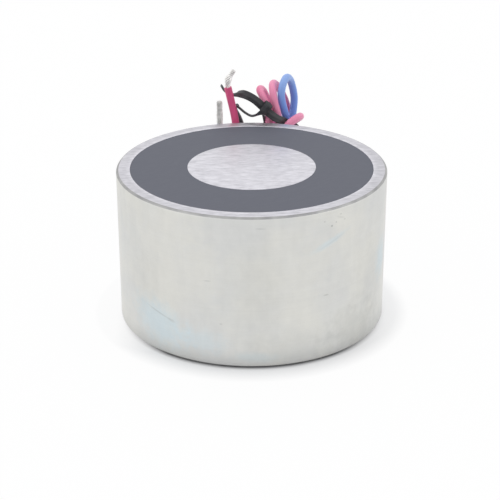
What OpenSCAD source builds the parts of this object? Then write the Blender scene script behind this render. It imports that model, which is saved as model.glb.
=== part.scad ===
// Holding electromagnet: a turned steel pot with a centre pole, a coil cast in under resin,
// and two leads folded into a small hank behind the pot.
// The holding face is up and the origin is the centre of the back face.
// The leads leave through the wall towards +Y. Sizes are in millimetres.

/* [Pot] */
// Outside diameter of the pot
body_d = 59; // [57:0.5:66]
// Height from the back face to the holding face
body_h = 34; // [32:0.5:45]
// Thickness of the outer wall
wall_t = 3; // [2:0.25:3.5]
// Diameter of the centre pole
pole_d = 28; // [24:0.5:30]
// Thickness of the base
base_t = 7; // [5:0.5:9]
// Chamfer round the rim
rim_chamfer = 0.4; // [0.2:0.1:0.8]
// Chamfer round the foot
foot_chamfer = 0.5; // [0.2:0.1:1.5]
// Chamfer in the outer corner of the coil groove
groove_chamfer = 0.8; // [0.2:0.1:1.2]

/* [Mounting thread] */
// Wall diameter of the tapped hole in the back face
thread_d = 5; // [4:0.1:8.5]
// Depth of the full bore
thread_depth = 12; // [10:0.5:16]
// Diameter of the countersunk mouth
thread_mouth_d = 6.6; // [5.2:0.1:11]
// Point angle of the tap drill
drill_angle = 118; // [90:1:140]

/* [Coil] */
// Clearance between the bobbin and the pole
bobbin_clear = 0.2; // [0.1:0.05:0.5]
// Thickness of the bobbin's hub
hub_t = 1; // [0.8:0.1:1.5]
// Thickness of the bobbin's flanges
flange_t = 1.2; // [0.8:0.1:1.8]
// Gap between the flanges and the wall
flange_gap = 1.5; // [1:0.1:2]
// Depth of the resin above the bobbin
potting_depth = 4.5; // [3:0.25:6]
// How far the resin lies below the holding face
potting_recess = 0.1; // [0.05:0.05:0.4]
// Thickness of the tape round the winding
tape_t = 0.3; // [0.1:0.05:0.5]
// Room between the tape and the wall for the lead joints
joint_room = 4; // [3.4:0.1:5]

/* [Leads] */
// Outside diameter of a lead
lead_d = 1.8; // [1.4:0.1:2]
// Distance between the two leads where they leave the pot
lead_pitch = 2.4; // [2.2:0.1:2.8]
// Diameter of the drilled lead exit
exit_d = 5.4; // [5.2:0.1:6]
// Height of the lead exit above the inside of the base
exit_rise = 5; // [4:0.25:7]
// Diameter of a stripped and tinned lead end
tip_d = 1.2; // [0.8:0.1:1.4]

/* [Lead joints] */
// Diameter of a soldered joint
joint_d = 1.1; // [0.8:0.1:1.2]
// Bend of a joint from the lead up along the coil
joint_bend = 0.9; // [0.7:0.1:1.1]
// Length of the upright part of a joint
joint_len = 9; // [6:0.5:10]
// Outside diameter of a joint's sleeve
sleeve_d = 2; // [1.8:0.1:2.1]
// Clearance between a joint and its sleeve
sleeve_clear = 0.05; // [0.02:0.01:0.1]
// Diameter of the coil's own wire ends
tail_d = 0.5; // [0.3:0.05:0.6]
// Bend of a wire end into the winding
tail_bend = 1; // [0.6:0.1:1.2]
// Clearance round a wire end where it passes the tape
tail_clear = 0.1; // [0.05:0.05:0.2]

/* [Lead bush] */
// Clearance of the bush in the drilled exit and of the leads in the bush
bush_clear = 0.05; // [0.02:0.01:0.1]
// How far the bush reaches into the resin
bush_reach = 0.6; // [0.3:0.1:0.7]
// Diameter of the bush's collar
collar_d = 6.8; // [6.4:0.1:8]
// Thickness of the collar
collar_t = 1; // [0.6:0.1:1.5]
// Diameter of the bush's nose where it meets the collar
nose_d = 5.8; // [5.4:0.1:6.2]
// Diameter of the nose at its outer end
nose_end_d = 5.2; // [5:0.1:5.4]
// Length of the nose
nose_l = 2; // [1:0.25:3]

/* [Tie] */
// Width of the tie
tie_w = 2; // [1.6:0.1:2.2]
// Thickness of the tie over its wire core
tie_core_t = 0.6; // [0.4:0.05:0.7]
// Thickness of the tie at its edges
tie_edge_t = 0.25; // [0.15:0.05:0.3]

/* [Hidden] */
$fn = 96;

// A cut reaches this far past the face that it opens
over = 1;
body_r = body_d / 2;
bore_r = body_r - wall_t;
pole_r = pole_d / 2;

// Bobbin, winding and tape, from the pole outwards
bobbin_bore_r = pole_r + bobbin_clear;
hub_r = bobbin_bore_r + hub_t;
flange_r = bore_r - flange_gap;
tape_r = bore_r - joint_room;
winding_r = tape_r - tape_t;
bobbin_top = body_h - potting_depth;
winding_z = base_t + flange_t;
winding_top = bobbin_top - flange_t;

// Lead joints stand upright between the tape and the wall
exit_z = base_t + exit_rise;
joint_y = (tape_r + bore_r) / 2;
lead_inner_y = joint_y + joint_bend;
joint_top = exit_z + joint_bend + joint_len;
tail_z = joint_top + tail_bend;
red_x = -lead_pitch / 2;
blue_x = lead_pitch / 2;

// How far each lead runs straight out behind the wall
red_straight = 6.5;
blue_straight = 6;

// Lead routes. Each point gives x, the distance behind the wall and the height above the floor.
red_route = [
    [-1, 9.3, 13], [-0.3, 10.9, 15.6], [1.4, 10.8, 19], [5, 8.5, 25], [6.6, 7.6, 28.4],
    [8.5, 7.3, 30.6], [10.7, 6.8, 32.3], [11.7, 4.7, 33.8], [10.8, 2.1, 34.3], [8.9, 0.6, 33.3],
    [7.6, 0.2, 31.3], [6.7, 0.3, 28.8], [6, 0.7, 23.5], [6, 1, 7], [6.1, 2.7, 2.8], [6.4, 6.8, 1.1],
    [7, 11, 2.8], [7.6, 12.7, 7], [8.6, 13.3, 16], [9.2, 13.5, 26], [9.1, 13.5, 31],
    [8.4, 13.2, 34.6], [7.2, 12.2, 37.6], [6, 10.4, 39.9], [5.1, 7.4, 41.1], [5.1, 4.2, 40],
    [5.6, 2.8, 37.3], [6.4, 2.6, 34], [7.4, 2.5, 17.8], [7.1, 4, 14.1], [6.5, 7.6, 12.6],
    [5.8, 11.3, 14.1], [5.3, 12.8, 17.8], [4.9, 12.8, 30], [4, 12.5, 35], [2.8, 10.9, 38.3],
    [2, 7.5, 39.6], [2.7, 4.6, 38.8], [3.7, 3.2, 37.2], [4.1, 2.3, 35], [4.1, 1.7, 33],
    [4.1, 1.5, 22], [3, 1.5, 18.4], [-0.2, 1.5, 16.8], [-3.4, 1.5, 18.4], [-4.5, 1.5, 22],
    [-3.7, 1.3, 31], [-4.7, 1.6, 38], [-5.6, 1.7, 42]
];
blue_route = [
    [1.4, 8.9, 12.9], [2.1, 10.6, 15.2], [3.7, 10.9, 18.6], [7, 10.8, 24.4], [9.5, 11.2, 29.4],
    [10.2, 11.7, 33.2], [10.4, 11.9, 36], [10, 11.8, 38.7], [9.3, 10.8, 41.1], [8.3, 8, 42.4],
    [7.4, 5.2, 41.4], [7.1, 4, 38.9], [8.1, 3.9, 34.6], [9.2, 3.8, 28], [9.9, 2.3, 6.6],
    [10, 3.9, 2.7], [10.2, 7.7, 1.1], [10.9, 11.5, 2.7], [11.8, 13.1, 6.6], [12.4, 12.9, 20],
    [12.5, 11.3, 23.8], [12.5, 7.4, 25.4], [12.5, 3.5, 23.8], [12.6, 1.9, 20], [12.7, 1.9, 6.6],
    [12.7, 3.5, 2.7], [12.8, 7.3, 1.1], [12.6, 11.5, 1], [10, 15.9, 1], [3, 18.2, 1], [-6, 16.1, 1],
    [-9.8, 11.5, 1], [-10.4, 6.9, 1.8], [-9.6, 3.1, 5.6], [-8.6, 1.1, 12], [-7.9, 0.6, 22],
    [-7.6, 0.6, 33]
];
red_tip_route = [[-5.6, 1.7, 42], [-5.6, 1.7, 43.4], [-5.2, 1.7, 44.6], [-4.1, 1.7, 46.2]];
blue_tip_route = [[-7.6, 0.6, 33], [-7.6, 0.8, 38.9]];

// Tie: points as above, each with the direction of the tie's width there.
// It runs from its long end round the hank, hooks over itself and ends in its short end.
tie_route = [
    [-7.2, 4.6, 41.6, 0.1, 1, -0.3], [-6.5, 4.6, 40.4, 0.1, 1, -0.3],
    [-5.6, 4.5, 39.7, 0, 1, -0.3], [-4.3, 3.9, 39.6, 0, 1, -0.2],
    [-3, 2.9, 40.1, 0, 0.95, 0.4], [-1.5, 1.7, 40.2, 0.15, 0.4, 0.9],
    [0.3, 1, 39.5, 0.4, 0.1, 0.9], [1.8, 0.6, 38.4, 0.5, 0.1, 0.86],
    [4, 0.3, 36.3, 0.6, 0.1, 0.78], [5.3, 0.3, 35.2, 0.4, 0.45, 0.8],
    [6.7, 0.6, 34.3, 0.3, 0.7, 0.65], [7.9, 1.7, 33.4, 0.4, 0.3, 0.87],
    [8.9, 2.5, 32.2, 0.5, 0.1, 0.86], [10.1, 2.9, 30.8, 0.5, 0, 0.86],
    [11.1, 3.9, 29.6, 0.2, 0, 1], [11.5, 6.3, 28.8, 0, 0, 1],
    [11.6, 9.5, 28.4, 0, 0, 1], [11.4, 12.4, 28.1, 0, 0, 1],
    [10.8, 14.2, 27.9, 0, 0, 1], [9.4, 15.3, 27.8, 0, 0, 1],
    [7.2, 15.3, 27.8, 0, 0, 1], [4.9, 14.6, 27.9, 0, 0, 1],
    [3.3, 13.2, 28.2, 0, 0, 1], [2.6, 10.1, 28.9, 0, 0, 1],
    [2.7, 6.8, 29.8, 0, 0.2, 1], [3, 4.5, 31.4, 0, 0.6, 0.8],
    [3.1, 3.3, 33.2, 0.1, 0.9, 0.4], [2.8, 2.1, 34.8, 0, 0.84, 0.55],
    [2.7, 1.4, 36, -0.3, 0.7, 0.6], [3.2, 1.15, 37.1, -0.65, 0.25, 0.7],
    [3.9, 1, 38.1, -0.72, 0, 0.68], [4.2, 0.3, 38.5, -0.72, 0, 0.68],
    [3.9, -0.4, 38.1, -0.72, 0, 0.68], [3.2, -0.45, 37.2, -0.7, -0.1, 0.69],
    [2.5, -0.45, 36.4, -0.65, -0.4, 0.65], [1.4, 0.2, 35.8, -0.1, -0.95, 0.35],
    [0, 1, 35.2, 0, -1, 0.36], [-1.5, 1.8, 35.7, 0, -1, 0.36],
    [-3.1, 2.9, 36.7, 0, -1, 0.36], [-3.9, 3.8, 36.7, -0.2, -1, 0.3],
    [-3.7, 4.2, 35.4, -0.3, -1, 0.2], [-3, 4.3, 33.8, -0.4, -1, 0],
    [-2.4, 4.3, 32.2, -0.4, -1, 0], [-1.9, 4.3, 30.4, -0.4, -1, 0]
];
// Rings between two points of the tie, and sides of a round cord
tie_steps = 3;
cord_sides = 8;

function unit(v) = v / norm(v);
function across(v, along) = unit(v - (v * along) * along);
function placed(p) = [for (k = [0:len(p) - 1]) k == 1 ? p[k] + body_r : p[k]];
function route(points) = [for (p = points) placed(p)];
function place_of(p) = [p[0], p[1], p[2]];
function width_of(p) = [p[3], p[4], p[5]];

// Direction of a path at one of its points
function heading(path, i) =
    let (last = len(path) - 1)
    let (before = path[max(i, 1)] - path[max(i, 1) - 1])
    let (after = path[min(i, last - 1) + 1] - path[min(i, last - 1)])
    unit(unit(before) + unit(after));

// Smooth curve through the points of a path
function between(a, b, c, d, s) =
    (2 * b + (c - a) * s + (2 * a - 5 * b + 4 * c - d) * s ^ 2 + (3 * b - a - 3 * c + d) * s ^ 3) / 2;
function smoothed(path, steps) =
    let (last = len(path) - 1)
    [
        for (i = [0:last - 1])
            for (k = [0:steps - 1])
                between(path[max(i - 1, 0)], path[i], path[i + 1], path[min(i + 2, last)], k / steps),
        path[last]
    ];

// Rings of a round cord, each turned as little as possible against the one before
function cord_rings(path, d, start) =
    let (ways = [for (i = [0:len(path) - 1]) i == 0 ? start : heading(path, i)])
    let (sides = [
        for (i = 0, s = across([1, 0, 0], ways[0]);
             i < len(path);
             i = i + 1, s = i < len(path) ? across(s, ways[i]) : s) s
    ])
    [
        for (i = [0:len(path) - 1])
            let (up = cross(ways[i], sides[i]))
            [
                for (k = [0:cord_sides - 1])
                    let (turn = 360 * k / cord_sides)
                    path[i] + d / 2 * (cos(turn) * sides[i] + sin(turn) * up)
            ]
    ];

// Rings of the flat tie, thicker in the middle over its wire
function tie_rings(path) =
    let (places = [for (p = path) place_of(p)])
    [
        for (i = [0:len(path) - 1])
            let (way = heading(places, i))
            let (wide = across(width_of(path[i]), way))
            let (thick = cross(way, wide))
            [
                for (p = [[-1, -1], [0, -1], [1, -1], [1, 1], [0, 1], [-1, 1]])
                    places[i] + p[0] * tie_w / 2 * wide
                        + p[1] * (p[0] == 0 ? tie_core_t : tie_edge_t) / 2 * thick
            ]
    ];

red_path = concat(
    [[red_x, lead_inner_y, exit_z], [red_x, body_r + red_straight, exit_z]],
    route(red_route)
);
blue_path = concat(
    [[blue_x, lead_inner_y, exit_z], [blue_x, body_r + blue_straight, exit_z]],
    route(blue_route)
);

// Closed skin over a row of rings with the same number of points
module skin(rings) {
    m = len(rings[0]);
    last = len(rings) - 1;
    points = [for (ring = rings) each ring];
    sides = [
        for (i = [0:last - 1])
            for (k = [0:m - 1])
                let (a = i * m + k)
                let (b = i * m + (k + 1) % m)
                each [[a, a + m, b + m], [a, b + m, b]]
    ];
    start_cap = [for (k = [0:m - 1]) k];
    end_cap = [for (k = [m - 1:-1:0]) last * m + k];
    polyhedron(points, concat([start_cap], sides, [end_cap]), convexity = 10);
}

// Cylinder along +Y from one y to another
module rod_y(x, z, d, from, to) {
    translate([x, from, z])
        rotate([-90, 0, 0])
            cylinder(d = d, h = to - from);
}

// Quarter of a round ring
module quarter_bend(bend, d) {
    rotate_extrude(angle = 90)
        translate([bend, 0])
            circle(d = d);
}

module pot_core() {
    thread_r = thread_d / 2;
    mouth_r = thread_mouth_d / 2;
    point_h = thread_r / tan(drill_angle / 2);
    color("gainsboro")
        difference() {
            rotate_extrude()
                polygon([
                    [mouth_r, 0],
                    [body_r - foot_chamfer, 0],
                    [body_r, foot_chamfer],
                    [body_r, body_h - rim_chamfer],
                    [body_r - rim_chamfer, body_h],
                    [bore_r, body_h],
                    [bore_r, base_t + groove_chamfer],
                    [bore_r - groove_chamfer, base_t],
                    [pole_r, base_t],
                    [pole_r, body_h],
                    [0, body_h],
                    [0, thread_depth + point_h],
                    [thread_r, thread_depth],
                    [thread_r, mouth_r - thread_r]
                ]);
            rod_y(0, exit_z, exit_d, bore_r - over, body_r + over);
        }
}

module bobbin() {
    color("ivory")
        rotate_extrude()
            polygon([
                [bobbin_bore_r, base_t],
                [flange_r, base_t],
                [flange_r, winding_z],
                [hub_r, winding_z],
                [hub_r, winding_top],
                [flange_r, winding_top],
                [flange_r, bobbin_top],
                [bobbin_bore_r, bobbin_top]
            ]);
}

module winding() {
    color("peru")
        rotate_extrude()
            translate([hub_r, winding_z])
                square([winding_r - hub_r, winding_top - winding_z]);
}

module coil_tape() {
    color("khaki")
        difference() {
            rotate_extrude()
                translate([winding_r, winding_z])
                    square([tape_t, winding_top - winding_z]);
            for (x = [red_x, blue_x])
                rod_y(x, tail_z, tail_d + 2 * tail_clear, winding_r - over, tape_r + over);
        }
}

// Soldered joint: a quarter bend from the lead's end, then upright along the coil
module splice(x) {
    translate([x, lead_inner_y, exit_z + joint_bend])
        rotate([0, 90, 180])
            quarter_bend(joint_bend, joint_d);
    translate([x, joint_y, exit_z + joint_bend])
        cylinder(d = joint_d, h = joint_len);
}

module red_splice() {
    color("silver")
        splice(red_x);
}

module blue_splice() {
    color("silver")
        splice(blue_x);
}

module sleeve_body(x) {
    translate([x, joint_y, exit_z + joint_bend])
        cylinder(d = sleeve_d, h = joint_len);
}

module splice_sleeve(x) {
    difference() {
        sleeve_body(x);
        translate([x, joint_y, exit_z + joint_bend - over])
            cylinder(d = joint_d + 2 * sleeve_clear, h = joint_len + 2 * over);
    }
}

module red_splice_sleeve() {
    color("dimgray")
        splice_sleeve(red_x);
}

module blue_splice_sleeve() {
    color("dimgray")
        splice_sleeve(blue_x);
}

// Coil wire end: a quarter bend from the top of the joint, then inwards onto the winding
module coil_tail(x) {
    difference() {
        union() {
            translate([x, joint_y - tail_bend, joint_top])
                rotate([90, 0, 90])
                    quarter_bend(tail_bend, tail_d);
            rod_y(x, tail_z, tail_d, winding_r - over, joint_y - tail_bend);
        }
        cylinder(r = winding_r, h = body_h);
    }
}

module red_coil_tail() {
    color("peru")
        coil_tail(red_x);
}

module blue_coil_tail() {
    color("peru")
        coil_tail(blue_x);
}

// Outline of the bobbin, the winding and its tape
module coil_space() {
    rotate_extrude()
        polygon([
            [pole_r, base_t],
            [flange_r, base_t],
            [flange_r, winding_z],
            [tape_r, winding_z],
            [tape_r, winding_top],
            [flange_r, winding_top],
            [flange_r, bobbin_top],
            [pole_r, bobbin_top]
        ]);
}

module bush_shank() {
    rod_y(0, exit_z, exit_d - 2 * bush_clear, bore_r - bush_reach, body_r);
}

// Resin ring, cast round the coil, the lead joints and the inner end of the bush
module potting() {
    color("dimgray")
        difference() {
            rotate_extrude()
                polygon([
                    [pole_r, base_t],
                    [bore_r - groove_chamfer, base_t],
                    [bore_r, base_t + groove_chamfer],
                    [bore_r, body_h - potting_recess],
                    [pole_r, body_h - potting_recess]
                ]);
            coil_space();
            for (x = [red_x, blue_x])
                sleeve_body(x);
            for (x = [red_x, blue_x])
                splice(x);
            for (x = [red_x, blue_x])
                coil_tail(x);
            for (x = [red_x, blue_x])
                rod_y(x, exit_z, lead_d, lead_inner_y, body_r);
            bush_shank();
        }
}

module lead_bush() {
    collar_y = body_r + collar_t;
    nose_y = collar_y + nose_l;
    color("dimgray")
        difference() {
            union() {
                bush_shank();
                difference() {
                    rod_y(0, exit_z, collar_d, bore_r, collar_y);
                    cylinder(r = body_r, h = body_h);
                }
                translate([0, collar_y, exit_z])
                    rotate([-90, 0, 0])
                        cylinder(d1 = nose_d, d2 = nose_end_d, h = nose_l);
            }
            for (x = [red_x, blue_x])
                rod_y(x, exit_z, lead_d + 2 * bush_clear, bore_r - bush_reach - over, nose_y + over);
        }
}

module red_lead() {
    color("palevioletred")
        skin(cord_rings(red_path, lead_d, [0, 1, 0]));
}

module blue_lead() {
    color("cornflowerblue")
        skin(cord_rings(blue_path, lead_d, [0, 1, 0]));
}

module red_lead_tip() {
    color("darkgray")
        skin(cord_rings(route(red_tip_route), tip_d, heading(red_path, len(red_path) - 1)));
}

module blue_lead_tip() {
    color("darkgray")
        skin(cord_rings(route(blue_tip_route), tip_d, heading(blue_path, len(blue_path) - 1)));
}

module twist_tie() {
    color("#2c2c30")
        skin(tie_rings(smoothed(route(tie_route), tie_steps)));
}

pot_core();
bobbin();
winding();
coil_tape();
red_splice();
blue_splice();
red_splice_sleeve();
blue_splice_sleeve();
red_coil_tail();
blue_coil_tail();
potting();
lead_bush();
red_lead();
blue_lead();
red_lead_tip();
blue_lead_tip();
twist_tie();
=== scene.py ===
from math import pi, radians

import bmesh
import bpy
import numpy as np
from mathutils import Matrix, Vector


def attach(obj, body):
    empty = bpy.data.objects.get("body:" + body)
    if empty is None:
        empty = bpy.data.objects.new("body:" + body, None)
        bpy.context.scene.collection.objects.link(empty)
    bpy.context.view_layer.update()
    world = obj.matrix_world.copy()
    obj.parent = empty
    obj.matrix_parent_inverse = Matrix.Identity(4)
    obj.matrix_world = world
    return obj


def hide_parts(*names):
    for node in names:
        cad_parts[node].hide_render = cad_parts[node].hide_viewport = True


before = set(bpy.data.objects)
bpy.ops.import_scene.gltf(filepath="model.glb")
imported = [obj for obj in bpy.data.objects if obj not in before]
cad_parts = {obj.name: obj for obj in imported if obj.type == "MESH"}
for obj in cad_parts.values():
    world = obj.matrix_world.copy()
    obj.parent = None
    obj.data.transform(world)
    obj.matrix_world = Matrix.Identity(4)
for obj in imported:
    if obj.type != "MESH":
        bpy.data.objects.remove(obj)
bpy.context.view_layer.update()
mm = 0.001
print("frame loaded:", len(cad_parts), "nodes")

# the photograph's camera
cameraFit = {
    "place": (0, -289.6, 142.88),
    "lens": 101.96,
    "lookDown": 24.005,
    "turn": 0.077,
    "roll": 0.0845,
    "sensor": 36,
    "clip": (0.01, 50),
}


def addCamera():
    lens = bpy.data.cameras.new("photoCamera")
    lens.lens = cameraFit["lens"]
    lens.sensor_width = cameraFit["sensor"]
    lens.clip_start, lens.clip_end = cameraFit["clip"]
    camera = bpy.data.objects.new("photoCamera", lens)
    camera.matrix_world = (
        Matrix.Translation(Vector(cameraFit["place"]) * mm)
        @ Matrix.Rotation(radians(cameraFit["turn"]), 4, "Z")
        @ Matrix.Rotation(-radians(cameraFit["lookDown"]), 4, "X")
        @ Matrix.Rotation(radians(cameraFit["roll"]), 4, "Y")
        @ Matrix.Rotation(pi / 2, 4, "X")
    )
    bpy.context.scene.collection.objects.link(camera)
    bpy.context.scene.camera = camera


addCamera()
print("camera set")


# small helpers for shader trees
def wire(tree, source, socket):
    tree.links.new(source, socket)


def feed(tree, node, wires):
    for key, value in wires.items():
        if isinstance(value, bpy.types.NodeSocket):
            wire(tree, value, node.inputs[key])
        else:
            node.inputs[key].default_value = value


def put(tree, kind, wires=None, **settings):
    node = tree.nodes.new("ShaderNode" + kind)
    for key, value in settings.items():
        setattr(node, key, value)
    feed(tree, node, wires or {})
    return node


def calc(tree, operation, a, b=0.0, c=0.0):
    return put(tree, "Math", {0: a, 1: b, 2: c}, operation=operation).outputs[0]


def along(tree, operation, a, b):
    return put(tree, "VectorMath", {0: a, 1: b}, operation=operation).outputs[0]


def reach(tree, vector):
    return put(tree, "VectorMath", {0: vector}, operation="LENGTH").outputs["Value"]


def split(tree, vector):
    return put(tree, "SeparateXYZ", {0: vector}).outputs


# three numbers become a colour, a socket stays as it is
def colour(tone):
    return tone if isinstance(tone, bpy.types.NodeSocket) else (*tone, 1.0)


def mixColour(tree, share, a, b):
    node = put(tree, "Mix", {0: share, 6: colour(a), 7: colour(b)}, data_type="RGBA")
    return node.outputs[2]


def spread(tree, value, low, high, start=0.0, end=1.0, way="LINEAR"):
    node = put(tree, "MapRange", {"Value": value, "From Min": low, "From Max": high,
                                  "To Min": start, "To Max": end}, interpolation_type=way)
    return node.outputs["Result"]


def noise(tree, place, scale, detail=3.0, rough=0.55):
    return put(tree, "TexNoise", {"Vector": place, "Scale": scale, "Detail": detail,
                                  "Roughness": rough}).outputs["Fac"]


def newGroup(name, takes, gives):
    group = bpy.data.node_groups.new(name, "ShaderNodeTree")
    for label, kind in takes:
        group.interface.new_socket(label, in_out="INPUT", socket_type="NodeSocket" + kind)
    for label, kind in gives:
        group.interface.new_socket(label, in_out="OUTPUT", socket_type="NodeSocket" + kind)
    start = group.nodes.new("NodeGroupInput")
    end = group.nodes.new("NodeGroupOutput")
    return group, start.outputs, end.inputs


def useGroup(tree, group, wires):
    node = tree.nodes.new("ShaderNodeGroup")
    node.node_tree = group
    feed(tree, node, wires)
    return node.outputs


def newMaterial(name):
    material = bpy.data.materials.new(name)
    material.use_nodes = True
    tree = material.node_tree
    tree.nodes.clear()
    out = put(tree, "OutputMaterial")
    skin = put(tree, "BsdfPrincipled")
    wire(tree, skin.outputs[0], out.inputs["Surface"])
    place = put(tree, "TexCoord").outputs["Object"]
    return material, tree, skin, place


# most of a noise lies between these
noiseSpan = (0.3, 0.7)


# roughness that swings with a grain
def roughen(tree, skin, grain, rough, swing):
    low, high = swing
    wire(tree, spread(tree, grain, *noiseSpan, rough + low, rough + high), skin.inputs["Roughness"])


def emboss(tree, skin, height, strength, deep):
    bump = put(tree, "Bump", {"Strength": strength, "Distance": deep * mm, "Height": height})
    wire(tree, bump.outputs[0], skin.inputs["Normal"])


wallRadius = 29.5  # of the pot, in millimetres


# wall map: arc length from the front and height, both in millimetres
def buildWallMap():
    group, start, end = newGroup("wallMap", [("Place", "Vector")], [("Wall", "Vector")])
    xyz = split(group, start["Place"])
    turn = calc(group, "ARCTAN2", xyz[0], calc(group, "MULTIPLY", xyz[1], -1.0))
    wall = put(group, "CombineXYZ", {0: calc(group, "MULTIPLY", turn, wallRadius),
                                     1: calc(group, "MULTIPLY", xyz[2], 1 / mm)})
    wire(group, wall.outputs[0], end["Wall"])
    return group


# one soft-edged, slightly ragged patch on the wall map
patchMake = {"ragScale": 0.55, "ragDetail": 4.0, "ragMiddle": 0.5, "fade": (1.0, 0.15)}


def buildSoftPatch():
    group, start, end = newGroup(
        "softPatch",
        [("Wall", "Vector"), ("Centre", "Vector"), ("Size", "Vector"),
         ("Turn", "Float"), ("Ragged", "Float")],
        [("Mask", "Float")])
    moved = along(group, "SUBTRACT", start["Wall"], start["Centre"])
    turned = put(group, "VectorRotate", {"Vector": moved, "Angle": start["Turn"]},
                 rotation_type="Z_AXIS").outputs[0]
    scaled = along(group, "DIVIDE", turned, start["Size"])
    rag = noise(group, start["Wall"], patchMake["ragScale"], patchMake["ragDetail"])
    rag = calc(group, "SUBTRACT", rag, patchMake["ragMiddle"])
    far = calc(group, "MULTIPLY_ADD", rag, start["Ragged"], reach(group, scaled))
    wire(group, spread(group, far, *patchMake["fade"], way="SMOOTHSTEP"), end["Mask"])
    return group


# rings left by turning, and the soft clouds of the plating over them;
# noises here and below end with their detail and roughness
turnMake = {
    "stretch": (0.012, 0.012, 1.0),
    "rings": (4.0, 0.65),
    "clouds": (75.0, 4.0, 0.5),
    "grain": (2600.0, 2.0, 0.6),
}


def buildTurnedRings():
    group, start, end = newGroup(
        "turnedRings", [("Place", "Vector"), ("Pitch", "Float")],
        [("Rings", "Float"), ("Clouds", "Float"), ("Grain", "Float")])
    flat = along(group, "MULTIPLY", start["Place"], turnMake["stretch"])
    wire(group, noise(group, flat, start["Pitch"], *turnMake["rings"]), end["Rings"])
    wire(group, noise(group, start["Place"], *turnMake["clouds"]), end["Clouds"])
    wire(group, noise(group, start["Place"], *turnMake["grain"]), end["Grain"])
    return group


# straight streaks from a surface grinder, along X
grindMake = {"stretch": (0.24, 1.0, 1.0), "streak": (5.0, 0.62), "mottle": (520.0, 4.0, 0.6)}


def buildGrindStreaks():
    group, start, end = newGroup(
        "grindStreaks", [("Place", "Vector"), ("Width", "Float"), ("Turn", "Float")],
        [("Streak", "Float"), ("Mottle", "Float")])
    turned = put(group, "VectorRotate", {"Vector": start["Place"], "Angle": start["Turn"]},
                 rotation_type="Z_AXIS").outputs[0]
    flat = along(group, "MULTIPLY", turned, grindMake["stretch"])
    wire(group, noise(group, flat, start["Width"], *grindMake["streak"]), end["Streak"])
    wire(group, noise(group, start["Place"], *grindMake["mottle"]), end["Mottle"])
    return group


# fine and broad grain of plastic, rubber, edges and small metal pieces
skinMake = {"fine": (3.0, 0.6), "broad": (3.0, 0.5)}


def buildMouldedSkin():
    group, start, end = newGroup(
        "mouldedSkin", [("Place", "Vector"), ("Fine", "Float"), ("Broad", "Float")],
        [("Fine", "Float"), ("Broad", "Float")])
    wire(group, noise(group, start["Place"], start["Fine"], *skinMake["fine"]), end["Fine"])
    wire(group, noise(group, start["Place"], start["Broad"], *skinMake["broad"]), end["Broad"])
    return group


wallMap = buildWallMap()
softPatch = buildSoftPatch()
turnedRings = buildTurnedRings()
grindStreaks = buildGrindStreaks()
mouldedSkin = buildMouldedSkin()
print("node groups built")

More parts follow.
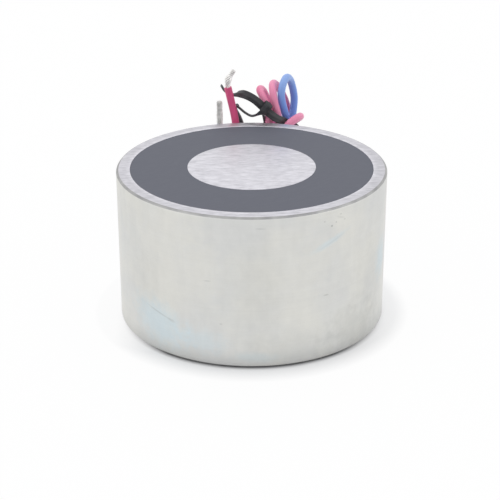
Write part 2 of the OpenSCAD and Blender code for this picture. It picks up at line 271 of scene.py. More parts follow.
# zinc plate on the turned steel; a patch is (arc, height), (half width, half height), turn,
# raggedness and strength, and a painted shade darkens the foot from one height to another
zincFinish = {
    "plain": (0.647, 0.652, 0.64),
    "warm": (0.69, 0.687, 0.652),
    "cool": (0.605, 0.68, 0.71),
    "dark": (0.3, 0.31, 0.3),
    "rough": 0.4,
    "swing": (-0.05, 0.06),
    "bump": (0.08, 0.04),
    "clouds": (0.4, 0.64),
    "ringPitch": 2300.0,
    "rings": (0.25, 0.75, 0.985, 1.015),
    "runs": (0.985, 1.015),
    "runStretch": (1, 0.1, 1),
    "runScale": 0.45,
    "flecks": (0.982, 1.018),
    "fleckScale": 420.0,
    "foot": (0.5, 4.0, 0.93),
    "coolPatches": [
        ((-21.5, 7), (11.5, 7), 0.3, 0.8, 0.95),
        ((-10.5, 5.5), (7.5, 4), 0.1, 1.2, 0.55),
        ((17, 26.7), (6.6, 1.1), -0.36, 0.7, 0.62),
        ((36.5, 16.5), (4.5, 6.5), 0.0, 1.0, 0.85),
        ((1, 2.5), (7, 1.8), 0.05, 0.9, 0.45),
        ((-70, 22), (12, 6), 0.5, 1.0, 0.6),
        ((66, 10), (14, 5), -0.3, 1.0, 0.6),
        ((-46, 7), (8, 4), 0.25, 1.0, 0.55),
        ((86, 6), (7, 4), -0.1, 1.0, 0.5),
    ],
    "warmPatches": [
        ((-17, 29), (6, 4), 0.2, 1.2, 0.5),
        ((11, 19), (6.5, 12), 0.1, 1.1, 0.75),
        ((-11, 22), (6, 12), 0.0, 1.1, 0.75),
        ((48, 24), (8, 6), 0.2, 1.2, 0.7),
        ((-51, 20), (9, 8), -0.2, 1.2, 0.7),
        ((84, 15), (9, 9), 0.1, 1.2, 0.6),
        ((-83, 23), (8, 6), 0.0, 1.2, 0.6),
    ],
    "marksAndReflections": [
        ((-21.4, 9.4), (4.8, 0.3), 0.22, 0.5, 0.28),
        ((-18, 8.6), (1.3, 0.5), 0.25, 0.7, 0.22),
        ((16.2, 14.9), (1.0, 0.24), 0.06, 0.3, 0.4),
        ((-6.4, 10), (0.5, 0.25), 0.0, 0.4, 0.25),
        ((17.6, 26.7), (5.4, 0.32), -0.36, 0.6, 0.12),
        # the next five broad dark patches are painted shade and reflection; the small marks are
        # real
        ((25, 5), (12, 8), 0.0, 1.0, 0.2),
        ((0.8, 18), (7.5, 17), 0.0, 0.6, 0.1),
        ((8, 4), (16, 6), 0.0, 0.9, 0.12),
        ((31, 14), (9, 15), 0.0, 0.8, 0.1),
        ((-26, 16), (8, 10), 0.0, 0.8, 0.08),
        ((15.5, 31.5), (0.3, 0.25), 0.0, 0.4, 0.35),
        ((18.4, 30.8), (0.3, 0.3), 0.0, 0.4, 0.4),
        ((19.6, 32.3), (0.35, 0.25), 0.0, 0.4, 0.4),
        ((20.7, 30.9), (0.3, 0.25), 0.0, 0.4, 0.35),
        ((17.3, 30.2), (0.35, 0.35), 0.0, 0.4, 0.75),
        ((19.6, 31.6), (1.6, 0.4), 0.3, 1.2, 0.2),
        ((-9.3, 19.5), (1.1, 0.2), -0.05, 0.3, 0.3),
        ((1.6, 31.6), (1.6, 0.25), 0.05, 0.4, 0.22),
        ((45, 21), (3, 0.26), 0.32, 0.5, 0.25),
        ((53, 8), (0.4, 0.3), 0.0, 0.4, 0.4),
        ((61, 28), (0.35, 0.35), 0.0, 0.4, 0.5),
        ((75, 20), (2.2, 0.24), 0.4, 0.5, 0.25),
        ((83, 27), (0.35, 0.3), 0.0, 0.4, 0.45),
        ((-48, 12), (3.2, 0.26), -0.25, 0.5, 0.25),
        ((-56, 27), (1.2, 0.26), 0.1, 0.4, 0.3),
        ((-64, 16), (0.4, 0.3), 0.0, 0.4, 0.45),
        ((-79, 8), (1.6, 0.28), -0.2, 0.5, 0.25),
    ],
}


def patchMask(tree, wall, patches):
    total = 0.0
    for (arc, high), (wide, tall), turn, ragged, strength in patches:
        mask = useGroup(tree, softPatch, {
            "Wall": wall, "Centre": (arc, high, 0), "Size": (wide, tall, 1),
            "Turn": turn, "Ragged": ragged})["Mask"]
        total = calc(tree, "MULTIPLY_ADD", mask, strength, total)
    return calc(tree, "MINIMUM", total, 1.0)


def makeZincPlate():
    material, tree, skin, place = newMaterial("zincPlate")
    look = zincFinish
    wall = useGroup(tree, wallMap, {"Place": place})["Wall"]
    rings = useGroup(tree, turnedRings, {"Place": place, "Pitch": look["ringPitch"]})
    tone = mixColour(tree, spread(tree, rings["Clouds"], *look["clouds"]),
                     look["plain"], look["warm"])
    # the dark marks include broad painted shade and reflection
    for patches, stain in (("warmPatches", "warm"), ("coolPatches", "cool"), ("marksAndReflections", "dark")):
        tone = mixColour(tree, patchMask(tree, wall, look[patches]), tone, look[stain])
    shade = spread(tree, rings["Rings"], *look["rings"])
    flecks = noise(tree, place, look["fleckScale"])
    shade = calc(tree, "MULTIPLY", shade, spread(tree, flecks, *noiseSpan, *look["flecks"]))
    runs = noise(tree, along(tree, "MULTIPLY", wall, look["runStretch"]), look["runScale"])
    shade = calc(tree, "MULTIPLY", shade, spread(tree, runs, *noiseSpan, *look["runs"]))
    # painted shade: the wall darker towards the foot
    shade = calc(tree, "MULTIPLY", shade, spread(tree, split(tree, wall)[1], *look["foot"], 1.0))
    wire(tree, along(tree, "MULTIPLY", tone, shade), skin.inputs["Base Color"])
    skin.inputs["Metallic"].default_value = 1.0
    roughen(tree, skin, rings["Grain"], look["rough"], look["swing"])
    emboss(tree, skin, rings["Rings"], *look["bump"])
    return material


# turned edges of rim and foot, in painted shade: darker than the plate
edgeShadeFinish = {
    "plain": (0.34, 0.34, 0.345),
    "worn": (0.46, 0.46, 0.455),
    "rough": 0.42,
    "swing": (-0.06, 0.08),
    "bump": (0.15, 0.03),
    "grain": {"Fine": 1800.0, "Broad": 240.0},
    "wear": (0.4, 0.65),
}


def makeShadedEdgeSteel():
    material, tree, skin, place = newMaterial("shadedEdgeSteel")
    look = edgeShadeFinish
    rub = useGroup(tree, mouldedSkin, {"Place": place, **look["grain"]})
    tone = mixColour(tree, spread(tree, rub["Broad"], *look["wear"]), look["plain"], look["worn"])
    wire(tree, tone, skin.inputs["Base Color"])
    skin.inputs["Metallic"].default_value = 1.0
    roughen(tree, skin, rub["Fine"], look["rough"], look["swing"])
    emboss(tree, skin, rub["Fine"], *look["bump"])
    return material


# ground holding face; a tone is from and to in millimetres, then its two ends; the rim tone is a
# painted highlight on the inner edge that fades darker outwards, the front tone a painted highlight
# and the right tone painted shade
groundFinish = {
    "plain": (0.775, 0.767, 0.814),
    "low": (0.598, 0.592, 0.633),
    "rough": 0.48,
    "swing": (0.08, -0.06),
    "bump": (0.22, 0.03),
    "lines": {"Width": 1700.0, "Turn": 0.05},
    "cross": {"Width": 1100.0, "Turn": -0.4},
    "shares": {"mottle": 0.25, "lines": 0.5, "cross": 0.25},
    "mixed": (0.4, 0.6),
    "rimEdgeHighlight": (26.5, 27.5, 1.09, 0.93),
    "poleTone": (14.2, 14.3, 0.955, 1.0),
    "frontHighlight": (-29, -18, 1.06, 1.0),
    "rightShade": (18, 28, 1.0, 0.95),
}


def makeGroundSteel():
    material, tree, skin, place = newMaterial("groundSteel")
    look = groundFinish
    lines = useGroup(tree, grindStreaks, {"Place": place, **look["lines"]})
    cross = useGroup(tree, grindStreaks, {"Place": place, **look["cross"]})
    parts = look["shares"]
    share = calc(tree, "MULTIPLY_ADD", lines["Mottle"], parts["mottle"],
                 calc(tree, "MULTIPLY", lines["Streak"], parts["lines"]))
    share = calc(tree, "MULTIPLY_ADD", cross["Streak"], parts["cross"], share)
    tone = mixColour(tree, spread(tree, share, *look["mixed"]), look["low"], look["plain"])
    out = reach(tree, along(tree, "MULTIPLY", place, (1, 1, 0)))
    xyz = split(tree, place)
    # painted highlight at the rim's inner edge and the front, painted shade on the right
    for at, name in ((out, "rimEdgeHighlight"), (out, "poleTone"), (xyz[1], "frontHighlight"),
                     (xyz[0], "rightShade")):
        start, end, first, last = look[name]
        tone = along(tree, "MULTIPLY", tone, spread(tree, at, start * mm, end * mm, first, last))
    wire(tree, tone, skin.inputs["Base Color"])
    skin.inputs["Metallic"].default_value = 1.0
    roughen(tree, skin, lines["Streak"], look["rough"], look["swing"])
    emboss(tree, skin, lines["Streak"], *look["bump"])
    return material


# cast resin, ground flush with the face
resinFinish = {
    "plain": (0.096, 0.102, 0.128),
    "worn": (0.106, 0.112, 0.139),
    "rough": 0.66,
    "swing": (0.02, -0.02),
    "bump": (0.05, 0.03),
    "lines": {"Width": 1500.0, "Turn": -0.6},
    "streaks": (0.45, 0.8),
    "mottles": (0.4, 0.75),
}


def makeCastResin():
    material, tree, skin, place = newMaterial("castResin")
    look = resinFinish
    lines = useGroup(tree, grindStreaks, {"Place": place, **look["lines"]})
    share = calc(tree, "MULTIPLY", spread(tree, lines["Streak"], *look["streaks"]),
                 spread(tree, lines["Mottle"], *look["mottles"]))
    tone = mixColour(tree, share, look["plain"], look["worn"])
    wire(tree, tone, skin.inputs["Base Color"])
    roughen(tree, skin, lines["Streak"], look["rough"], look["swing"])
    emboss(tree, skin, lines["Streak"], *look["bump"])
    return material


# plastic and rubber: plain colour, worn colour, roughness, fine and broad grain
plasticFinishes = {
    "tiePlastic": ((0.022, 0.022, 0.026), (0.05, 0.05, 0.055), 0.46, 2600.0, 300.0),
    "bushRubber": ((0.02, 0.02, 0.022), (0.045, 0.045, 0.047), 0.62, 3000.0, 260.0),
    "bobbinNylon": ((0.72, 0.69, 0.58), (0.78, 0.75, 0.65), 0.5, 1800.0, 90.0),
    "jointSleeve": ((0.02, 0.02, 0.022), (0.04, 0.04, 0.042), 0.5, 2600.0, 240.0),
    "coilTape": ((0.62, 0.42, 0.08), (0.7, 0.52, 0.14), 0.25, 900.0, 60.0),
}
plasticGrain = {"swing": (-0.05, 0.07), "bump": (0.15, 0.03), "wear": (0.4, 0.7)}


def makePlastic(name):
    plain, worn, rough, fine, broad = plasticFinishes[name]
    material, tree, skin, place = newMaterial(name)
    grain = useGroup(tree, mouldedSkin, {"Place": place, "Fine": fine, "Broad": broad})
    tone = mixColour(tree, spread(tree, grain["Broad"], *plasticGrain["wear"]), plain, worn)
    wire(tree, tone, skin.inputs["Base Color"])
    roughen(tree, skin, grain["Fine"], rough, plasticGrain["swing"])
    emboss(tree, skin, grain["Fine"], *plasticGrain["bump"])
    return material


# lead insulation with painted light, paler where the loops catch the light: along an axis, from and
# to in metres
leadFinishes = {
    "redPlastic": {"plain": (0.7, 0.088, 0.23), "paintedLitTone": (0.84, 0.3, 0.475), "axis": 0,
                   "from": 0.0, "to": 0.003, "rough": 0.42},
    "bluePlastic": {"plain": (0.17, 0.305, 0.76), "paintedLitTone": (0.275, 0.42, 0.78), "axis": 2,
                    "from": 0.036, "to": 0.0435, "rough": 0.42},
}
leadGrain = {"Fine": 2200.0, "Broad": 160.0}
litGrainShare = (0.8, 1.0)


def makeLeadPlastic(name):
    look = leadFinishes[name]
    material, tree, skin, place = newMaterial(name)
    grain = useGroup(tree, mouldedSkin, {"Place": place, **leadGrain})
    # painted light: the lit part of the lead is paler
    paintedLitShare = spread(tree, split(tree, place)[look["axis"]], look["from"], look["to"],
                    way="SMOOTHSTEP")
    share = calc(tree, "MULTIPLY", paintedLitShare, spread(tree, grain["Broad"], *noiseSpan, *litGrainShare))
    tone = mixColour(tree, share, look["plain"], look["paintedLitTone"])
    wire(tree, tone, skin.inputs["Base Color"])
    roughen(tree, skin, grain["Fine"], look["rough"], plasticGrain["swing"])
    emboss(tree, skin, grain["Fine"], *plasticGrain["bump"])
    return material


# metals in small pieces: plain colour, low colour, roughness, grain
wireFinishes = {
    "tinnedWire": ((0.75, 0.74, 0.73), (0.49, 0.485, 0.47), 0.36, 900.0),
    # a lighter copy of the tinned wire for the red lead's tip, a painted highlight
    "litTinnedWire": ((0.93, 0.915, 0.9), (0.68, 0.665, 0.65), 0.36, 900.0),
    "enamelWire": ((0.5, 0.2, 0.09), (0.36, 0.12, 0.05), 0.28, 700.0),
}
wireGrain = {"finer": 3, "swing": (-0.06, 0.1), "bump": (0.3, 0.05), "wear": (0.38, 0.66)}


def makeWireMetal(name):
    plain, low, rough, scale = wireFinishes[name]
    material, tree, skin, place = newMaterial(name)
    grain = useGroup(tree, mouldedSkin, {"Place": place, "Fine": scale * wireGrain["finer"],
                                         "Broad": scale})
    tone = mixColour(tree, spread(tree, grain["Broad"], *wireGrain["wear"]), low, plain)
    wire(tree, tone, skin.inputs["Base Color"])
    skin.inputs["Metallic"].default_value = 1.0
    roughen(tree, skin, grain["Fine"], rough, wireGrain["swing"])
    emboss(tree, skin, grain["Broad"], *wireGrain["bump"])
    return material


zincPlate = makeZincPlate()
shadedEdgeSteel = makeShadedEdgeSteel()
groundSteel = makeGroundSteel()
castResin = makeCastResin()
plastics = {name: makePlastic(name) for name in plasticFinishes}
insulation = {name: makeLeadPlastic(name) for name in leadFinishes}
wireMetals = {name: makeWireMetal(name) for name in wireFinishes}
print("materials made")

# leads: the route points of the part's source, in metres
redLead = {
    "points": [
        (-.0012, .0254, .012), (-.0012, .036, .012), (-.001, .0388, .013), (-.0003, .0404, .0156),
        (.0014, .0403, .019), (.005, .038, .025), (.0066, .0371, .0284), (.0085, .0368, .0306),
        (.0107, .0363, .0323), (.0117, .0342, .0338), (.0108, .0316, .0343), (.0089, .0301, .0333),
        (.0076, .0297, .0313), (.0067, .0298, .0288), (.006, .0302, .0235), (.006, .0305, .007),
        (.0061, .0322, .0028), (.0064, .0363, .0011), (.007, .0405, .0028), (.0076, .0422, .007),
        (.0086, .0428, .016), (.0092, .043, .026), (.0091, .043, .031), (.0084, .0427, .0346),
        (.0072, .0417, .0376), (.006, .0399, .0399), (.0051, .0369, .0411), (.0051, .0337, .04),
        (.0056, .0323, .0373), (.0064, .0321, .034), (.0074, .032, .0178), (.0071, .0335, .0141),
        (.0065, .0371, .0126), (.0058, .0408, .0141), (.0053, .0423, .0178), (.0049, .0423, .03),
        (.004, .042, .035), (.0028, .0404, .0383), (.002, .037, .0396), (.0027, .0341, .0388),
        (.0037, .0327, .0372), (.0041, .0318, .035), (.0041, .0312, .033), (.0041, .031, .022),
        (.003, .031, .0184), (-.0002, .031, .0168), (-.0034, .031, .0184), (-.0045, .031, .022),
        (-.0037, .0308, .031), (-.0047, .0311, .038), (-.0056, .0312, .042),
    ],
    "tip": [(-.0056, .0312, .0414), (-.0056, .0312, .0434), (-.0052, .0312, .0446),
            (-.0041, .0312, .0462)],
    "swells": [(0.48, 0.3, 0.45), (0.86, 0.2, -0.1)],
    "exit": (-.0012, .0325, .012),
    "length": 0.254,
}
blueLead = {
    "points": [
        (.0012, .0254, .012), (.0012, .0355, .012), (.0014, .0384, .0129), (.0021, .0401, .0152),
        (.0037, .0404, .0186), (.007, .0403, .0244), (.0095, .0407, .0294), (.0102, .0412, .0332),
        (.0104, .0414, .036), (.01, .0413, .0387), (.0093, .0403, .0411), (.0083, .0375, .0424),
        (.0074, .0347, .0414), (.0071, .0335, .0389), (.0081, .0334, .0346), (.0092, .0333, .028),
        (.0099, .0318, .0066), (.01, .0334, .0027), (.0102, .0372, .0011), (.0109, .041, .0027),
        (.0118, .0426, .0066), (.0124, .0424, .02), (.0125, .0408, .0238), (.0125, .0369, .0254),
        (.0125, .033, .0238), (.0126, .0314, .02), (.0127, .0314, .0066), (.0127, .033, .0027),
        (.0128, .0368, .0011), (.0126, .041, .001), (.01, .0454, .001), (.003, .0477, .001),
        (-.006, .0456, .001), (-.0098, .041, .001), (-.0104, .0364, .0018), (-.0096, .0326, .0056),
        (-.0086, .0306, .012), (-.0079, .0301, .022), (-.0076, .0301, .033),
    ],
    "tip": [(-.0076, .0301, .0324), (-.0076, .0302, .0354), (-.0076, .0303, .0389)],
    "swells": [(0.5, 3.0, 0.2), (0.42, 0.22, 0.1), (0.7, 0.12, -0.05)],
    "exit": (.0012, .0325, .012),
    "length": 0.227,
}
leadMake = {"thick": 0.0018, "steps": 10, "sides": 5}


# even-bending curve through the points: its speed at each point, and the step to the next
def curveSpeeds(points):
    p = np.array(points, float)
    step = np.sqrt(np.linalg.norm(np.diff(p, axis=0), axis=1))
    count = len(p)
    left = np.zeros((count, count))
    right = np.zeros((count, 3))
    left[0, 0] = 1
    right[0] = (p[1] - p[0]) / step[0]
    left[-1, -2:] = 1, 2
    right[-1] = 3 * (p[-1] - p[-2]) / step[-1]
    for i in range(1, count - 1):
        before, after = 1 / step[i - 1], 1 / step[i]
        left[i, i - 1:i + 2] = before, 2 * (before + after), after
        right[i] = 3 * ((p[i] - p[i - 1]) * before ** 2 + (p[i + 1] - p[i]) * after ** 2)
    return p, np.linalg.solve(left, right), step


def addLead(name, points, material):
    p, speed, step = curveSpeeds(points)
    data = bpy.data.curves.new(name, "CURVE")
    data.dimensions = "3D"
    data.resolution_u = leadMake["steps"]
    data.bevel_depth = leadMake["thick"] / 2
    data.bevel_resolution = leadMake["sides"]
    data.use_fill_caps = True
    line = data.splines.new("BEZIER")
    line.bezier_points.add(len(p) - 1)
    for i, knot in enumerate(line.bezier_points):
        knot.handle_left_type = knot.handle_right_type = "FREE"
        knot.co = p[i]
        knot.handle_left = p[i] - speed[i] * step[max(i - 1, 0)] / 3
        knot.handle_right = p[i] + speed[i] * step[min(i, len(step) - 1)] / 3
    lead = bpy.data.objects.new(name, data)
    data.materials.append(material)
    bpy.context.scene.collection.objects.link(lead)
    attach(lead, "root")
    return lead


redCord = addLead("redLead", redLead["points"], insulation["redPlastic"])
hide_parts("red_lead")
blueCord = addLead("blueLead", blueLead["points"], insulation["bluePlastic"])
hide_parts("blue_lead")
print("leads laid")


mergeGap = 1e-7


def finishMesh(bm, name, materials, sharp):
    bmesh.ops.remove_doubles(bm, verts=bm.verts, dist=mergeGap)
    bmesh.ops.recalc_face_normals(bm, faces=bm.faces)
    mesh = bpy.data.meshes.new(name)
    bm.to_mesh(mesh)
    bm.free()
    for material in materials:
        mesh.materials.append(material)
    mesh.shade_smooth()
    mesh.set_sharp_from_angle(angle=sharp)
    piece = bpy.data.objects.new(name, mesh)
    bpy.context.scene.collection.objects.link(piece)
    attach(piece, "root")
    return piece


# carries the mesh's only ring of edges along a row of placings, and closes its ends
def sweepRing(bm, verts, stations):
    edges = bm.edges[:]
    bmesh.ops.transform(bm, matrix=stations[0], verts=verts)
    for before, after in zip(stations, stations[1:]):
        made = bmesh.ops.extrude_edge_only(bm, edges=edges)["geom"]
        verts = [g for g in made if isinstance(g, bmesh.types.BMVert)]
        fresh = set(verts)
        edges = [g for g in made
                 if isinstance(g, bmesh.types.BMEdge) and fresh.issuperset(g.verts)]
        bmesh.ops.transform(bm, matrix=after @ before.inverted(), verts=verts)
    bmesh.ops.holes_fill(bm, edges=[e for e in bm.edges if e.is_boundary], sides=0)


# rounded row of places through the points, and its heading at each
def smoothRow(points, steps):
    p = [Vector(x) for x in points]
    row = []
    for i in range(len(p) - 1):
        a, b, c, d = p[max(i - 1, 0)], p[i], p[i + 1], p[min(i + 2, len(p) - 1)]
        for k in range(steps):
            s = k / steps
            row.append((2 * b + (c - a) * s + (2 * a - 5 * b + 4 * c - d) * s ** 2
                        + (3 * b - a - 3 * c + d) * s ** 3) / 2)
    return row + [p[-1]]


def rowHeading(row, i):
    before = (row[max(i, 1)] - row[max(i, 1) - 1]).normalized()
    last = len(row) - 1
    after = (row[min(i, last - 1) + 1] - row[min(i, last - 1)]).normalized()
    return (before + after).normalized()


# stripped end: strands twisted together and dipped in solder; a swell is the share of the
# length where it sits, its half width there and its height
tipMake = {
    "strands": 7,
    "corners": 4,
    "radius": 0.00056,
    "groove": 0.8,
    "shoulder": 1.06,
    "twist": 1150.0,
    "endSize": 0.72,
    "steps": 9,
    "sharp": 1.2,
}


def addTip(name, points, swells, metal):
    row = smoothRow(points, tipMake["steps"])
    bm = bmesh.new()
    each = tipMake["corners"]
    ring = bmesh.ops.create_circle(bm, segments=tipMake["strands"] * each, radius=1)["verts"]
    bmesh.ops.scale(bm, vec=(tipMake["groove"],) * 3, verts=ring[::each])
    bmesh.ops.scale(bm, vec=(tipMake["shoulder"],) * 3, verts=ring[each // 2::each])
    stations, run, last = [], 0.0, len(row) - 1
    facing = rowHeading(row, 0).to_track_quat("Z", "X")
    for i, at in enumerate(row):
        way = rowHeading(row, i)
        facing = (facing @ Vector((0, 0, 1))).rotation_difference(way) @ facing
        run += (at - row[i - 1]).length if i else 0
        swell = 1 + sum(high * max(0, 1 - abs(i / last - mid) / wide) for mid, wide, high in swells)
        size = tipMake["radius"] * swell * (tipMake["endSize"] if i == last else 1)
        stations.append(Matrix.Translation(at) @ facing.to_matrix().to_4x4()
                        @ Matrix.Rotation(run * tipMake["twist"], 4, "Z")
                        @ Matrix.Diagonal((size, size, size, 1)))
    sweepRing(bm, ring, stations)
    return finishMesh(bm, name, [wireMetals[metal]], tipMake["sharp"])


redTip = addTip("redTip", redLead["tip"], redLead["swells"], "litTinnedWire")
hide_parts("red_lead_tip")
blueTip = addTip("blueTip", blueLead["tip"], blueLead["swells"], "tinnedWire")
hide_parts("blue_lead_tip")
print("stripped ends made")

# tie: one flat strip with a wire core, as points with the direction of its width;
# half is a quarter of its section in millimetres, from the edge to the wire
tieStrip = {
    "points": [
        (-.0072, .0341, .0416), (-.0065, .0341, .0404), (-.0056, .034, .0397),
        (-.0043, .0334, .0396), (-.003, .0324, .0401), (-.0015, .0312, .0402),
        (.0003, .0305, .0395), (.0018, .0301, .0384), (.004, .0298, .0363), (.0053, .0298, .0352),
        (.0067, .0301, .0343), (.0079, .0312, .0334), (.0089, .032, .0322), (.0101, .0324, .0308),
        (.0111, .0334, .0296), (.0115, .0358, .0288), (.0116, .039, .0284), (.0114, .0419, .0281),
        (.0108, .0437, .0279), (.0094, .0448, .0278), (.0072, .0448, .0278), (.0049, .0441, .0279),
        (.0033, .0427, .0282), (.0026, .0396, .0289), (.0027, .0363, .0298), (.003, .034, .0314),
        (.0031, .0328, .0332), (.0028, .0316, .0348), (.0027, .0309, .036), (.0032, .03065, .0371),
        (.0039, .0305, .0381), (.0042, .0298, .0385), (.0039, .0291, .0381), (.0032, .02905, .0372),
        (.0025, .02905, .0364), (.0014, .0297, .0358), (0, .0305, .0352), (-.0015, .0313, .0357),
        (-.0031, .0324, .0367), (-.0039, .0333, .0367), (-.0037, .0337, .0354),
        (-.003, .0338, .0338), (-.0024, .0338, .0322), (-.0019, .0338, .0304),
    ],
    "widths": [
        (.1, 1, -.3), (.1, 1, -.3), (0, 1, -.3), (0, 1, -.2), (0, .95, .4), (.15, .4, .9),
        (.4, .1, .9), (.5, .1, .86), (.6, .1, .78), (.4, .45, .8), (.3, .7, .65), (.4, .3, .87),
        (.5, .1, .86), (.5, 0, .86), (.2, 0, 1), (0, 0, 1), (0, 0, 1), (0, 0, 1), (0, 0, 1),
        (0, 0, 1), (0, 0, 1), (0, 0, 1), (0, 0, 1), (0, 0, 1), (0, .2, 1), (0, .6, .8),
        (.1, .9, .4), (0, .84, .55), (-.3, .7, .6), (-.65, .25, .7), (-.72, 0, .68), (-.72, 0, .68),
        (-.72, 0, .68), (-.7, -.1, .69), (-.65, -.4, .65), (-.1, -.95, .35), (0, -1, .36),
        (0, -1, .36), (0, -1, .36), (-.2, -1, .3), (-.3, -1, .2), (-.4, -1, 0), (-.4, -1, 0),
        (-.4, -1, 0),
    ],
    "half": [(1, .05), (.94, .12), (.5, .125), (.32, .2), (.17, .27), (0, .295)],
    "steps": 8,
    "sharp": 0.9,
}


def addTie():
    row = smoothRow(tieStrip["points"], tieStrip["steps"])
    widths = smoothRow(tieStrip["widths"], tieStrip["steps"])
    half = tieStrip["half"]
    upper = half + [(-w, h) for w, h in reversed(half[:-1])]
    outline = upper + [(w, -h) for w, h in reversed(upper)]
    bm = bmesh.new()
    ring = [bm.verts.new((w, h, 0)) for w, h in outline]
    for a, b in zip(ring, ring[1:] + ring[:1]):
        bm.edges.new((a, b))
    stations = []
    for i, at in enumerate(row):
        way = rowHeading(row, i)
        wide = (widths[i] - widths[i].dot(way) * way).normalized()
        turned = Matrix((wide, way.cross(wide), way)).transposed().to_4x4()
        stations.append(Matrix.Translation(at) @ turned @ Matrix.Scale(mm, 4))
    sweepRing(bm, ring, stations)
    return finishMesh(bm, "wireTie", [plastics["tiePlastic"]], tieStrip["sharp"])


tie = addTie()
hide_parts("twist_tie")
print("tie made")

# pot: turned in one piece, profile as radius and height in millimetres, with close rows on the
# wall where the lead exit is drilled
potTurn = {
    "profile": [
        (0, 34), (14, 34), (14, 7), (25.7, 7), (26.5, 7.8), (26.5, 34), (29.1, 34),
        (wallRadius, 33.6), *((wallRadius, z) for z in range(17, 6, -1)), (wallRadius, 0.5),
        (29, 0), (3.6, 0), (3, 0.6), (3, 12), (0, 13.8),
    ],
    "steps": 240,
    "seamGap": 1e-6,
    "sharp": 0.45,
    "rounds": {"angle": 0.5, "outside": 13, "above": 33, "below": 1, "size": 0.1, "steps": 3},
    "ground": {"above": 33.85, "within": 29, "upward": 0.1},
    "edges": {"outside": 28.9, "above": 33.62, "below": 0.48},
    "exit": {"high": 12, "radius": 2.7, "out": 28, "deep": 6, "sides": 64},
    "thread": {"major": 3.04, "minor": 2.5, "pitch": 1, "from": 1.2, "turns": 10, "steps": 40,
               "flank": 0.44, "crest": 0.06, "sharp": 0.6},
}


def sharpEdges(bm, angle):
    return [e for e in bm.edges if len(e.link_faces) == 2 and e.calc_face_angle(0) > angle]


def addPot():
    bm = bmesh.new()
    corners = [bm.verts.new((r * mm, 0, z * mm)) for r, z in potTurn["profile"]]
    edges = [bm.edges.new(pair) for pair in zip(corners, corners[1:])]
    bmesh.ops.spin(bm, geom=corners + edges, cent=(0, 0, 0), axis=(0, 0, 1), angle=2 * pi,
                   steps=potTurn["steps"], use_merge=True)
    bmesh.ops.remove_doubles(bm, verts=bm.verts, dist=potTurn["seamGap"])
    bmesh.ops.recalc_face_normals(bm, faces=bm.faces)
    rounds, ground, shadedEdges = potTurn["rounds"], potTurn["ground"], potTurn["edges"]
    outside = [e for e in sharpEdges(bm, rounds["angle"])
               if max(v.co.xy.length for v in e.verts) > rounds["outside"] * mm
               and all(v.co.z > rounds["above"] * mm or v.co.z < rounds["below"] * mm
                       for v in e.verts)]
    bmesh.ops.bevel(bm, geom=outside, offset=rounds["size"] * mm, segments=rounds["steps"],
                    profile=0.5, affect="EDGES", material=-1)
    for face in bm.faces:
        at = face.calc_center_median()
        out, high = at.xy.length / mm, at.z / mm
        if (high > ground["above"] and out < ground["within"]
                and face.normal.z > ground["upward"]):
            face.material_index = 1
        # the rim and foot edges get the painted-shade edge steel
        elif out > shadedEdges["outside"] and not shadedEdges["below"] < high < shadedEdges["above"]:
            face.material_index = 2
    return finishMesh(bm, "turnedPot", [zincPlate, groundSteel, shadedEdgeSteel], potTurn["sharp"])


# drills the lead exit through the wall
def drillExit(pot):
    make = potTurn["exit"]
    radius = make["radius"] * mm
    turned = (Matrix.Translation((0, make["out"] * mm, make["high"] * mm))
              @ Matrix.Rotation(pi / 2, 4, "X"))
    bm = bmesh.new()
    bmesh.ops.create_cone(bm, cap_ends=True, segments=make["sides"], radius1=radius,
                          radius2=radius, depth=make["deep"] * mm, matrix=turned)
    mesh = bpy.data.meshes.new("exitDrill")
    bm.to_mesh(mesh)
    bm.free()
    drill = bpy.data.objects.new("exitDrill", mesh)
    bpy.context.scene.collection.objects.link(drill)
    cut = pot.modifiers.new("exitCut", "BOOLEAN")
    cut.operation, cut.solver, cut.object = "DIFFERENCE", "EXACT", drill
    ready = pot.evaluated_get(bpy.context.evaluated_depsgraph_get())
    cutMesh = bpy.data.meshes.new_from_object(ready)
    pot.modifiers.remove(cut)
    pot.data = cutMesh
    cutMesh.shade_smooth()
    cutMesh.set_sharp_from_angle(angle=potTurn["sharp"])
    bpy.data.objects.remove(drill)


def addThread():
    make = potTurn["thread"]
    bm = bmesh.new()
    half = make["pitch"] * make["flank"]
    low, crest = make["from"], make["crest"]
    section = [(make["major"], low - half), (make["minor"], low - crest),
               (make["minor"], low + crest), (make["major"], low + half)]
    corners = [bm.verts.new((r * mm, 0, z * mm)) for r, z in section]
    edges = [bm.edges.new(pair) for pair in zip(corners, corners[1:] + corners[:1])]
    steps = make["turns"] * make["steps"]
    rise = (0, 0, make["pitch"] * mm / make["steps"])
    bmesh.ops.spin(bm, geom=corners + edges, cent=(0, 0, 0), axis=(0, 0, 1), dvec=rise,
                   angle=2 * pi * make["turns"], steps=steps)
    bmesh.ops.remove_doubles(bm, verts=bm.verts, dist=mergeGap)
    bmesh.ops.holes_fill(bm, edges=[e for e in bm.edges if e.is_boundary], sides=0)
    return finishMesh(bm, "tappedThread", [zincPlate], make["sharp"])


pot = addPot()
drillExit(pot)
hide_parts("pot_core")
thread = addThread()
print("pot turned, drilled and tapped:", len(pot.data.polygons), "faces")

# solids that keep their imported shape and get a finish
finishes = {
    "potting": castResin,
    "lead_bush": plastics["bushRubber"],
    "bobbin": plastics["bobbinNylon"],
    "winding": wireMetals["enamelWire"],
    "coil_tape": plastics["coilTape"],
    "red_splice": wireMetals["tinnedWire"],
    "blue_splice": wireMetals["tinnedWire"],
    "red_splice_sleeve": plastics["jointSleeve"],
    "blue_splice_sleeve": plastics["jointSleeve"],
    "red_coil_tail": wireMetals["enamelWire"],
    "blue_coil_tail": wireMetals["enamelWire"],
}
for nodeName, finish in finishes.items():
    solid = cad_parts[nodeName]
    solid.data.materials.clear()
    solid.data.materials.append(finish)
print("finishes on", len(finishes), "packed solids")

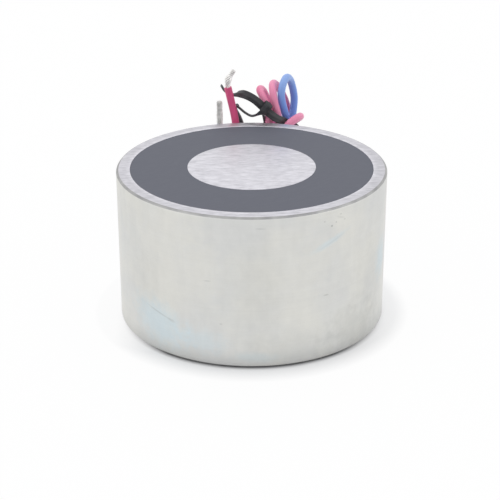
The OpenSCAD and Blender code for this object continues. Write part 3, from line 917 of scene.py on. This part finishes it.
# white table and light tent; a lamp is its place, size, power and whether metal mirrors it
pureWhite = colour((1, 1, 1))
tentMake = {
    "tableHalf": 6.0,
    "tableParts": 8,
    # the white share glows for camera and mirror rays; its sides add painted light, more on the
    # left than on the right
    "white": {"from": 0.0295, "to": 0.0355, "least": 0.0, "most": 0.95,
              "sides": [(-0.018, -0.03, 0.85), (0.018, 0.03, 0.45)]},
    # painted contact shadow: the table's colour darkens round the foot, most at the front
    "contactShadow": {"from": 0.0292, "to": 0.0304, "front": (-0.008, -0.02), "least": 0.48},
    "tableColour": (0.89, 0.895, 0.91),
    "fill": 0.545,
    "aim": (0, 0, 0.02),
    "lamps": [
        ((-0.55, -0.25, 0.35), (0.7, 0.7), 0.5, True),
        ((-0.55, -0.25, 0.35), (0.7, 0.7), 1.3, False),
        ((0.55, -0.2, 0.35), (0.7, 0.7), 0.5, True),
        ((0.55, -0.2, 0.35), (0.7, 0.7), 1.25, False),
        ((0, 0.4, 0.85), (1.2, 1.2), 5.0, False),
    ],
}


def seenRay(tree):
    path = put(tree, "LightPath").outputs
    seen = calc(tree, "MAXIMUM", path["Is Camera Ray"], path["Is Glossy Ray"])
    return calc(tree, "MAXIMUM", seen, path["Is Transmission Ray"])


def addTable():
    bm = bmesh.new()
    bmesh.ops.create_grid(bm, x_segments=tentMake["tableParts"],
                          y_segments=tentMake["tableParts"], size=tentMake["tableHalf"])
    mesh = bpy.data.meshes.new("whiteTable")
    bm.to_mesh(mesh)
    bm.free()
    material = bpy.data.materials.new("whiteTable")
    material.use_nodes = True
    tree = material.node_tree
    tree.nodes.clear()
    out = put(tree, "OutputMaterial")
    place = put(tree, "TexCoord").outputs["Object"]
    away = reach(tree, place)
    xyz = split(tree, place)
    # painted contact shadow in the table's colour
    contactShadow = tentMake["contactShadow"]
    near = spread(tree, xyz[1], *contactShadow["front"], 1.0, contactShadow["least"])
    dim = spread(tree, away, contactShadow["from"], contactShadow["to"], near, 1.0)
    paper = put(tree, "BsdfDiffuse",
                {"Color": along(tree, "MULTIPLY", tentMake["tableColour"], dim)})
    glow = put(tree, "Emission", {"Color": pureWhite, "Strength": 1.0})
    white = tentMake["white"]
    ramp = spread(tree, away, white["from"], white["to"], white["least"], white["most"])
    # painted light: the sides glow whiter, the left more than the right
    for start, end, most in white["sides"]:
        ramp = calc(tree, "MAXIMUM", ramp, spread(tree, xyz[0], start, end, 0.0, most))
    share = calc(tree, "MULTIPLY", seenRay(tree), ramp)
    both = put(tree, "MixShader", {0: share, 1: paper.outputs[0], 2: glow.outputs[0]})
    wire(tree, both.outputs[0], out.inputs["Surface"])
    mesh.materials.append(material)
    table = bpy.data.objects.new("whiteTable", mesh)
    bpy.context.scene.collection.objects.link(table)


def addTent():
    world = bpy.data.worlds.new("lightTent")
    bpy.context.scene.world = world
    world.use_nodes = True
    tree = world.node_tree
    tree.nodes.clear()
    out = put(tree, "OutputWorld")
    strength = spread(tree, seenRay(tree), 0.0, 1.0, tentMake["fill"], 1.0)
    sky = put(tree, "Background", {"Color": pureWhite, "Strength": strength})
    wire(tree, sky.outputs[0], out.inputs["Surface"])
    for i, (at, size, power, mirrored) in enumerate(tentMake["lamps"]):
        data = bpy.data.lights.new(f"softBox{i}", "AREA")
        data.shape = "RECTANGLE"
        data.size, data.size_y = size
        data.energy = power
        lamp = bpy.data.objects.new(f"softBox{i}", data)
        lamp.location = at
        lamp.visible_glossy = mirrored
        aim = Vector(tentMake["aim"]) - Vector(at)
        lamp.rotation_euler = aim.to_track_quat("-Z", "Y").to_euler()
        bpy.context.scene.collection.objects.link(lamp)
    bpy.context.scene.view_settings.view_transform = "Standard"


addTable()
addTent()
print("table and light tent set")
